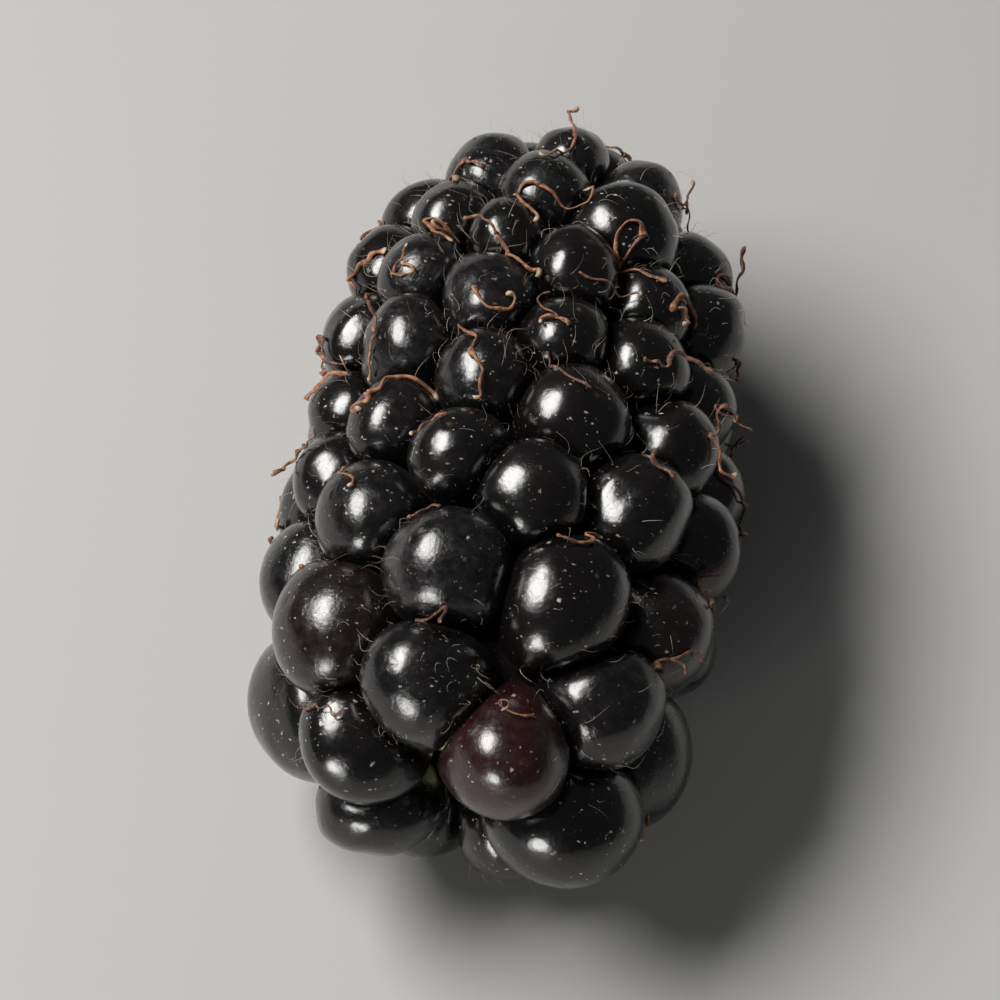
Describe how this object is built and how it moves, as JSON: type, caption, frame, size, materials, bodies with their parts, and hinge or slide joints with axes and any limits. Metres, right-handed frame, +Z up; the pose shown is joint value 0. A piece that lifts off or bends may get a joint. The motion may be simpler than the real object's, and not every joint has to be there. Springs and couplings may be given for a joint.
{
  "type": "bramble berry",
  "caption": "Ripe bramble berry as picked, lying on its side: glossy near-black drupelets pressed round a short pale plug at the stem end.",
  "frame": {"origin": "on the surface that the berry lies on, under the middle of its box", "axes": "+Z up, +Y along the berry towards its tip, with the stem end towards -Y, and +X across it"},
  "size_m": [0.0204, 0.0348, 0.0181],
  "materials": {
    "drupelet_skin": "thin glossy fruit skin, near-black with a purple cast, a few drupelets dark red",
    "receptacle_flesh": "moist matte plant flesh, pale greenish cream",
    "dried_style": "dry papery thread, reddish brown",
    "fine_hair": "pale fine plant hair"
  },
  "bodies": {
    "root": {"drupelets": "drupelet_skin", "receptacle": "receptacle_flesh"}
  },
  "joints": []
}
